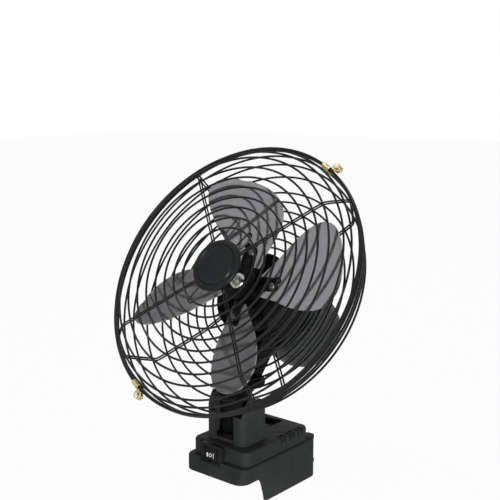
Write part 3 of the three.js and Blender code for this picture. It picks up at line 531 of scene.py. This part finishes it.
RIM_RADIUS = 136.0
RIM_WIRE = 3.0
RIM_GAP = 1.9
RING_WIRE = 2.1
RIB_WIRE = 2.8
RIB_STEP = 1.85
RIB_EASING = 7
WELD = 0.75
RIM_STEPS = 144
SIDE_STEPS = 132
FACE_STEPS = 120
INNER_STEPS = 90

FRONT_FACE = 21.0
FRONT_BEND = 115.3
FRONT_PITCH = 10.8
FRONT_RINGS = 8
FRONT_SIDE_RINGS = (0.37, 0.68)
FRONT_RIBS = (40, 126.5, 219.5, 305.5)
FRONT_STRAND = 1.6
FRONT_STRAND_GAP = 1.2
LOOPS = (59, 243)
LOOP_WIRE = 1.6

BACK_BEND = 123.5
BACK_BEND_DEPTH = 39.5
BACK_INNER = 62.0
BACK_FACE = 46.8
BACK_FIRST = 10.0
BACK_PITCH = 9.8
BACK_RINGS = 5
BACK_SIDE_RINGS = (0.22, 0.52, 0.97)
BACK_INNER_RINGS = (0.06, 0.5)
BACK_RIBS = (43, 131.5, 227, 311)
BACK_STRAND = 1.8
BACK_STRAND_GAP = 1.35
BACK_RIB_END = 38.8
PLATE_PLANE = 40.6
PLATE_RADIUS = 42.0
PLATE_HOLE = 15


def between(a, b, share):
    return a[0] + (b[0] - a[0]) * share, a[1] + (b[1] - a[1]) * share


def ring_on(a, b, share, steps=FACE_STEPS):
    """A ring laid against the ribs, part of the way along their run from a to b."""
    run = Vector((b[0] - a[0], b[1] - a[1])).normalized()
    radius, height = between(a, b, share)
    return ring(radius - run.y * RIB_STEP, height + run.x * RIB_STEP, RING_WIRE, steps)


def radial(points, degrees, aside):
    """Points (radius, height) set out along one direction and pushed to one side."""
    turn = around(degrees)
    return [tuple(turn @ Vector((radius, aside, height))) for radius, height in points]


def rib_strands(route, degrees, wire, gap):
    """A rib is a pair of thin wires side by side."""
    return [bent_wire(bend(radial(route, degrees, side * gap), RIB_EASING), wire) for side in (-1, 1)]


def front_route():
    """Where a front rib runs, from the cap outward and down to the rim."""
    flat = FRONT_FACE - RIB_STEP
    knee = (FRONT_BEND + RIB_WIRE, flat - RIB_WIRE / 2)
    return [(21, flat), (60, flat), (FRONT_BEND - RIB_WIRE, flat), knee, (RIM_RADIUS - WELD, RIM_GAP)]


def loop_points():
    """A long narrow loop beside the cap, rising a little at its outer end."""
    flat = FRONT_FACE - RING_WIRE - 0.6
    half = [(22, 3.4, flat), (34, 3.5, flat), (41.5, 3.0, flat + 0.5), (43, 1.4, flat + 0.7)]
    return [(x, -y, z) for x, y, z in half] + half[::-1]


def front_guard():
    parts = [ring(RIM_RADIUS, RIM_GAP, RIM_WIRE, RIM_STEPS)]
    for i in range(FRONT_RINGS):
        parts.append(ring(FRONT_BEND - i * FRONT_PITCH, FRONT_FACE, RING_WIRE, FACE_STEPS))
    route = front_route()
    for share in FRONT_SIDE_RINGS:
        parts.append(ring_on(route[3], route[4], share, SIDE_STEPS))
    for degrees in FRONT_RIBS:
        parts.extend(rib_strands(route, degrees, FRONT_STRAND, FRONT_STRAND_GAP))
    for degrees in LOOPS:
        path = [tuple(around(degrees) @ Vector(p)) for p in bend(loop_points(), 1.2, 3)]
        parts.append(bent_wire(path, LOOP_WIRE))
    piece("front_wire_guard", joined(*parts), "wire_black", "head", ("front_grille",), HEAD)


def back_route():
    """Where a rear rib runs, from the rim back, inward and onto the plate."""
    knee = BACK_BEND - RIB_STEP
    depth = -BACK_BEND_DEPTH + RIB_STEP
    return [(RIM_RADIUS - WELD, -RIM_GAP), (knee, depth + RIB_WIRE), (knee - RIB_WIRE, depth),
            (BACK_INNER, -BACK_FACE + RIB_STEP), (BACK_RIB_END, -PLATE_PLANE - 3.2)]


def rear_guard():
    parts = [ring(RIM_RADIUS, -RIM_GAP, RIM_WIRE, RIM_STEPS)]
    rim, side_end, knee, inner, middle = route = back_route()
    for share in BACK_SIDE_RINGS:
        parts.append(ring_on(rim, side_end, share, SIDE_STEPS))
    for i in range(BACK_RINGS):
        parts.append(ring_on(knee, inner, (BACK_FIRST + i * BACK_PITCH) / (knee[0] - inner[0])))
    for share in BACK_INNER_RINGS:
        parts.append(ring_on(inner, middle, share, INNER_STEPS))
    for degrees in BACK_RIBS:
        parts.extend(rib_strands(route, degrees, BACK_STRAND, BACK_STRAND_GAP))
    plate = [(PLATE_HOLE, 0), (PLATE_RADIUS - 1, 0), (PLATE_RADIUS, -0.4), (PLATE_RADIUS, -2),
             (PLATE_HOLE, -2), (PLATE_HOLE, 0)]
    parts.append(moved(turned(plate, 72), at(0, 0, -PLATE_PLANE * MM)))
    piece("rear_wire_guard", joined(*parts), "wire_black", "head", ("rear_grille",), HEAD)


def rib_eyes():
    """Flat eyes at the inner ends of the rear ribs."""
    washer = eased([(1.7, 0), (3.9, 0), (4.6, 0.9), (3.9, 1.8), (1.7, 1.8), (1.7, 0)], 0.3)
    leg_plane = -PLATE_PLANE + 1.1
    for i, degrees in enumerate(BACK_RIBS):
        eye = turned(washer, 28)
        moved(eye, around(degrees) @ at(33.5 * MM, 0, (-PLATE_PLANE + 0.2) * MM))
        legs = []
        for side in (-1, 1):
            legs.append(bent_wire(radial([(36.2, leg_plane), (44, leg_plane)], degrees, side * 2.2), 1.7))
        piece(f"rib_eye_{i + 1}", joined(eye, *legs), "hub_black", "head", (), HEAD)


# Fan wheel

BLADES = 4
BLADE_TIP = 109.3
BLADE_ROOT = 20.0
BLADE_HALF = 39.6
BLADE_PLANE = 25.4
BLADE_SWEEP = 27.8
BLADE_DISH = 1.4
BLADE_SHEET = 0.0013
BLADE_ROWS = 40
BLADE_COLUMNS = 14
ROOT_PITCH = 19.2
TIP_PITCH = 27.4
FIRST_BLADE = 6.7
ARM_END = 41.0
RIVET_PLACE = 34
# Half the blade's width at shares of its length, both as parts of their full size.
WIDTHS = ((0.179, 0.26), (0.25, 0.36), (0.34, 0.49), (0.42, 0.64), (0.5, 0.77),
          (0.58, 0.875), (0.655, 0.95), (0.73, 0.99), (0.79, 0.99), (0.845, 0.955),
          (0.895, 0.875), (0.935, 0.765), (0.965, 0.62), (0.988, 0.42), (1.0, 0.16))


def blade_half_width(share):
    for (a, wa), (b, wb) in zip(WIDTHS, WIDTHS[1:]):
        if share <= b:
            return wa + (wb - wa) * (share - a) / (b - a)
    return WIDTHS[-1][1]


def blade_point(radius, along, lift):
    """A point of the twisted sheet, from its radius, its place across and its dish."""
    share = max((radius - ARM_END) / (BLADE_TIP - ARM_END), 0)
    pitch = math.radians(ROOT_PITCH + (TIP_PITCH - ROOT_PITCH) * share)
    across = along + BLADE_SWEEP * (radius - BLADE_ROOT) / (BLADE_TIP - BLADE_ROOT)
    y = across * math.cos(pitch) - lift * math.sin(pitch)
    z = -BLADE_PLANE + across * math.sin(pitch) + lift * math.cos(pitch)
    return Vector((radius, y, z)) * MM


def fan_blade(index):
    """A pressed sheet: narrow at the root, widest near the tip, twisted and a little dished."""
    work = bmesh.new()
    bmesh.ops.create_grid(work, x_segments=BLADE_ROWS, y_segments=BLADE_COLUMNS, size=1)
    for vert in work.verts:
        share = (vert.co.x + 1) / 2
        share = 1 - (1 - share) ** 1.45
        radius = BLADE_TIP * (WIDTHS[0][0] + (1 - WIDTHS[0][0]) * share)
        half = BLADE_HALF * blade_half_width(radius / BLADE_TIP)
        side = vert.co.y
        dish = BLADE_DISH * (side * side - 0.4) * min(1, max(0, (radius - ARM_END) / 30))
        vert.co = blade_point(radius, half * side, dish)
    place = HEAD @ around(FIRST_BLADE + index * 90)
    piece(f"blade_{index + 1}", work, "blade_grey", "wheel", (f"fan_blade_{index + 1}",), place,
          wall=BLADE_SHEET, edge=(0.0003, 2), crease=50)


def root_turn():
    return at(0, 0, -BLADE_PLANE * MM) @ Matrix.Rotation(math.radians(ROOT_PITCH), 4, "X")


def finger():
    """A narrow pressed finger from the boss to a small eye, with a rolled edge on each side."""
    start, eye = Vector((15, 3.5)), Vector((39.8, 5.6))
    root_half, eye_half = 4.6, 1.3
    run = eye - start
    length = run.length
    web = block(0, length - 2, -1, 1, 1.2, 2.4)
    for vert in web.verts:
        vert.co.y *= root_half if vert.co.x < 0.001 else eye_half
    parts = [web]
    for side in (-1, 1):
        edge = [(0, side * root_half, 2.6), (length * 0.5, side * 3.0, 2.7), (length - 3, side * 1.5, 2.7)]
        parts.append(bent_wire(bend(edge, 4), 1.3, 6))
    washer = eased([(1.5, 1.2), (3.2, 1.2), (3.5, 2.2), (3.0, 3.4), (1.9, 3.4), (1.5, 1.2)], 0.4)
    parts.append(moved(turned(washer, 24), at(length * MM, 0, 0)))
    turn = Matrix.Rotation(math.atan2(run.y, run.x), 4, "Z")
    return moved(joined(*parts), at(start.x * MM, start.y * MM, 0) @ turn)


def hub():
    """A stepped boss with an arm, a stiffening rib and a finger for each blade."""
    bore, step, body = 4.3, 10.5, 17
    barrel = [(bore, -39.5), (step, -39.5), (step, -36), (16.2, -36), (body, -35.2), (body, -16.3),
              (16.2, -15.5), (11.5, -15.5), (10.6, -16.6), (bore, -16.6), (bore, -39.5)]
    parts = [turned(eased(barrel, 0.6), 56)]
    for i in range(BLADES):
        arm = rounded_block(13, ARM_END - 1, -5, 5, 1.05, 3.0, 4.6, 0.5, 6)
        rib = rounded_block(14, 27, -1.4, 1.4, 2.6, 4.6, 1.2, 0.6, 3)
        for made in (arm, rib, finger()):
            parts.append(moved(made, around(FIRST_BLADE + i * 90) @ root_turn()))
    piece("wheel_hub", joined(*parts), "hub_black", "wheel", ("fan_hub",), HEAD)


def rivets():
    for i in range(BLADES):
        head = turned([(0, 1.7), (1.4, 1.6), (2.8, 1.1), (3.7, 0.3), (3.8, 0), (0, 0)], 24)
        moved(head, at(RIVET_PLACE * MM, 0, 3.7 * MM))
        tail = turned([(0, -1.5), (2.4, -1.4), (3.2, -0.9), (3.4, 0), (0, 0)], 24)
        moved(tail, at(RIVET_PLACE * MM, 0, -1.05 * MM))
        work = moved(joined(head, tail), around(FIRST_BLADE + i * 90) @ root_turn())
        piece(f"rivet_{i + 1}", work, "dark_steel", "wheel", (f"blade_rivet_{i + 1}",), HEAD)


def collar():
    """A bright collar with four low lugs on its front face."""
    bore, rim, back = 4.3, 7.9, -15.2
    profile = [(bore, back), (rim, back), (rim, -12.4), (7.1, -11.4), (5.0, -11.2), (bore, -11.8),
               (bore, back)]
    lugs = []
    for degrees in (35, 125, 215, 305):
        lug = rounded_block(4.6, 7.0, -1.0, 1.0, -11.5, -10.7, 0.5, 0.25, 3)
        lugs.append(moved(lug, around(degrees)))
    piece("shaft_collar", joined(turned(eased(profile, 0.4), 40), *lugs), "bright_steel", "wheel",
          ("hub_collar",), HEAD, crease=40)


# Centre cap


def cap():
    """A moulded disc: a flat band, a fine raised lip, and a shallow dish with four small bridges."""
    back = FRONT_FACE + WELD - 1.2 + 0.3
    face = back + 4.4
    outline = [(0, back), (24.8, back), (26, back + 1.2), (26, face - 1.5), (25.2, face - 0.4),
               (23.8, face - 0.1), (21.2, face - 0.2), (20.4, face - 1.3), (19.9, face - 1.3),
               (19.0, face + 0.15), (17.9, face + 0.25), (15.4, face - 1.9), (12, face - 2.15),
               (0, face - 2.2)]
    disc = turned(eased(outline, 0.6), 96)
    bridges = []
    for i in range(4):
        bar = rounded_block(18.6, 21.6, -1.2, 1.2, face - 1.4, face - 0.05, 0.4, 0.25, 3)
        bridges.append(moved(bar, around(20 + i * 90)))
    piece("front_cap", joined(disc, *bridges), "cap_black", "head", ("centre_cap",), HEAD)


# Rim clips

STRAP_SHEET = 1.0
STRAP_WIDTH = 10
STRAP_SLACK = 0.35
EAR_START = 4.0
EAR_END = 13.4
SCREW_RADIUS = 142.65
SCREW_ASIDE = 9.25
HEX = 6
ROUND = 24


def strap_sheet(inner, outer, reach):
    """The strap's sheet, rolled round both rims and open at its outer side."""
    upper = [(outer, 0.9), (outer, reach * 0.7), (RIM_RADIUS + 0.8, reach),
             (RIM_RADIUS - 0.8, reach), (inner, reach * 0.7)]
    path = [(r, 0, z) for r, z in upper] + [(r, 0, -z) for r, z in reversed(upper)]
    work = bmesh.new()
    verts = [work.verts.new(Vector(p) * MM) for p in bend(path, 1.4, 3)]
    edges = [work.edges.new(pair) for pair in zip(verts, verts[1:])]
    made = bmesh.ops.extrude_edge_only(work, edges=edges)["geom"]
    new_verts = [v for v in made if isinstance(v, bmesh.types.BMVert)]
    bmesh.ops.translate(work, vec=(0, STRAP_WIDTH * MM, 0), verts=new_verts)
    bmesh.ops.translate(work, vec=(0, -STRAP_WIDTH / 2 * MM, 0), verts=work.verts)
    return work


def clip(index, degrees, side, head_sides, screw_finish):
    """A brass strap round both rims, with two ears beside it that a screw and a nut pinch."""
    hold = RIM_WIRE / 2 + STRAP_SLACK
    outer = RIM_RADIUS + hold + STRAP_SHEET / 2
    sheet = strap_sheet(RIM_RADIUS - hold - STRAP_SHEET / 2, outer, RIM_GAP + hold + STRAP_SHEET / 2)
    place = HEAD @ around(degrees)
    piece(f"clip_strap_{index}", sheet, "clip_yellow", "head", (f"clip_band_{index}",), place,
          wall=STRAP_SHEET * MM, edge=(0.00025, 2), crease=40)
    ears = []
    near, far = sorted((side * EAR_START, side * EAR_END))
    for face in (-1, 1):
        low, high = sorted((face * 0.7, face * 1.8))
        ears.append(rounded_block(outer - 0.5, outer + 7.2, near, far, low, high, 3.2, 0.25, 6))
    piece(f"clip_ears_{index}", joined(*ears), "clip_yellow", "head", (), place, crease=40)
    head = turned([(0, 4.6), (1.5, 4.5), (2.7, 3.9), (3.1, 3.1), (3.1, 2.2), (0, 2.2)], head_sides)
    shank = turned([(0, -5.6), (1.2, -5.5), (1.45, -5.2), (1.45, 2.2)], 18)
    across, along = SCREW_RADIUS * MM, side * SCREW_ASIDE * MM
    piece(f"clip_bolt_{index}", moved(joined(head, shank), at(across, along, 0)), screw_finish,
          "head", (f"clip_screw_{index}",), place)
    nut = bmesh.new()
    bmesh.ops.create_cone(nut, cap_ends=True, segments=HEX, radius1=3.2 * MM, radius2=3.2 * MM,
                          depth=2.4 * MM)
    moved(nut, at(across, along, -3.6 * MM))
    piece(f"clip_hex_{index}", nut, "bright_steel", "head", (f"clip_nut_{index}",), place, edge=(0.0003, 2))


# Motor

FINS = 48
NOSE_RADIUS = 35.3
CAN_RADIUS = 41


def motor():
    """The finned front shell and the smooth can behind it, with one groove round the can."""
    front = -PLATE_PLANE - 2.3
    nose = [(0, front), (32.6, front), (NOSE_RADIUS, front - 2.6), (NOSE_RADIUS, -89), (36, -89.6),
            (36, -92), (0, -92)]
    fins = []
    for i in range(FINS):
        fin = rounded_block(34.8, 36.1, -0.7, 0.7, -90, front - 3.4, 0.4, 0, 2)
        fins.append(moved(fin, around(i * 360 / FINS)))
    # The front shell's near-black, darker than the can behind it, is partly painted shade
    piece("motor_front_shell", joined(turned(eased(nose, 1.4), 96), *fins), "motor_black", "head",
          ("motor_housing_front",), HEAD)
    can = [(0, -92.3), (38.6, -92.3), (CAN_RADIUS, -94.6), (CAN_RADIUS, -112), (40.4, -112.6),
           (40.4, -114.2), (CAN_RADIUS, -114.8), (CAN_RADIUS, -145), (38.4, -155.8), (32, -162),
           (21, -165), (0, -165)]
    piece("motor_rear_shell", turned(eased(can, 1.3), 96), "motor_grey", "head",
          ("motor_housing_rear",), HEAD)


# Stalk, post and pivot

BOLT_SEAT = 17.3
BOLT_HEAD = 11.6
SHANK_RADIUS = 3


def pivot_parts():
    # The neck, post and bolt take inner_black, whose near-black is partly painted shade
    carved("neck", "stalk", "inner_black", "head", (0.0009, 3))
    carved("turning_post", "pivot_post", "inner_black", "post", (0.0007, 3))
    tip = -BOLT_SEAT - 7
    end = BOLT_SEAT + BOLT_HEAD
    profile = [(0, tip), (2.6, tip), (SHANK_RADIUS, -BOLT_SEAT - 6.4), (SHANK_RADIUS, BOLT_SEAT),
               (6.6, BOLT_SEAT), (6.6, end - 3), (5.4, end - 1), (3.6, end), (0, end)]
    bolt = turned(eased(profile, 0.8), 40)
    turn = Matrix.Translation(PIVOT) @ Matrix.Rotation(QUARTER, 4, "Y")
    piece("tilt_bolt", moved(bolt, turn), "inner_black", "head", ("pivot_bolt",), HEAD)


# Base


def base_parts():
    carved("lower_case", "base_lower_shell", "housing_black", "base", (0.0005, 3))
    carved("upper_case", "base_deck", "housing_black", "base", (0.0004, 2))
    carved("upright", "tower", "housing_black", "base", (0.0006, 3))
    carved("switch_frame", "switch_bezel", "switch_black", "base", (0.0004, 2))
    carved("switch_rocker", "rocker_switch", "rocker_black", "rocker", (0.0003, 2))


def switch_lip():
    """A raised inner lip round the rocker's hole."""
    low, high = [Vector(c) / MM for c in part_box("rocker_switch")]
    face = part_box("switch_bezel")[0][1] / MM
    left, right, bottom, top = low.x - 1.3, high.x + 1.3, low.z - 0.6, high.z + 0.6
    wide = 0.9
    front, back = face - 0.45, face + 0.2
    bars = [block(left - wide, left, front, back, bottom - wide, top + wide),
            block(right, right + wide, front, back, bottom - wide, top + wide),
            block(left, right, front, back, bottom - wide, bottom),
            block(left, right, front, back, top, top + wide)]
    piece("switch_lip", joined(*bars), "switch_black", "base", (), edge=(0.00018, 2))


def rocker_marks():
    """White printed positions on the rocker's two slopes: a thick bar, a ring and a thin bar."""
    low, high = [Vector(c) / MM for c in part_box("rocker_switch")]
    middle, half = (low.x + high.x) / 2, (high.x - low.x) / 2
    centre = (low.z + high.z) / 2 - 0.6
    bow = 0.9
    front, back = -0.06, 0.03

    def laid(work):
        """Lays flat print on the rocker's bowed face."""
        for vert in work.verts:
            x = vert.co.x / MM
            vert.co.y += (low.y + bow * (1 - abs(x - middle) / half)) * MM
        return work

    def bar(x, wide, tall):
        return laid(block(x - wide / 2, x + wide / 2, front, back, centre - tall / 2, centre + tall / 2))

    hoop = turned([(1.25, front), (1.9, front), (1.9, back), (1.25, back), (1.25, front)], 32)
    moved(hoop, at((middle - 0.5) * MM, 0, centre * MM) @ Matrix.Rotation(-QUARTER, 4, "X"))
    marks = joined(bar(middle - 4.2, 1.5, 4.2), laid(hoop), bar(middle + 3.4, 0.8, 5.2))
    piece("rocker_marks", marks, "white_print", "rocker", ())


def repaint_kept_nodes():
    """CAD nodes that stay as they are get the same finishes as the record names."""
    slots = {s["node"]: s["material_slot"] for s in frame["record"]["subparts"]}
    for name, node in frame["nodes"].items():
        node.data.materials.clear()
        node.data.materials.append(FINISH[slots[name]].material)


camera()
surroundings()
floor()
lights()
repaint_kept_nodes()
front_guard()
rear_guard()
rib_eyes()
for number in range(BLADES):
    fan_blade(number)
hub()
rivets()
collar()
cap()
clip(1, 61, -1, ROUND, "pale_zinc")
clip(2, 244, 1, HEX, "bright_steel")
motor()
pivot_parts()
base_parts()
switch_lip()
rocker_marks()
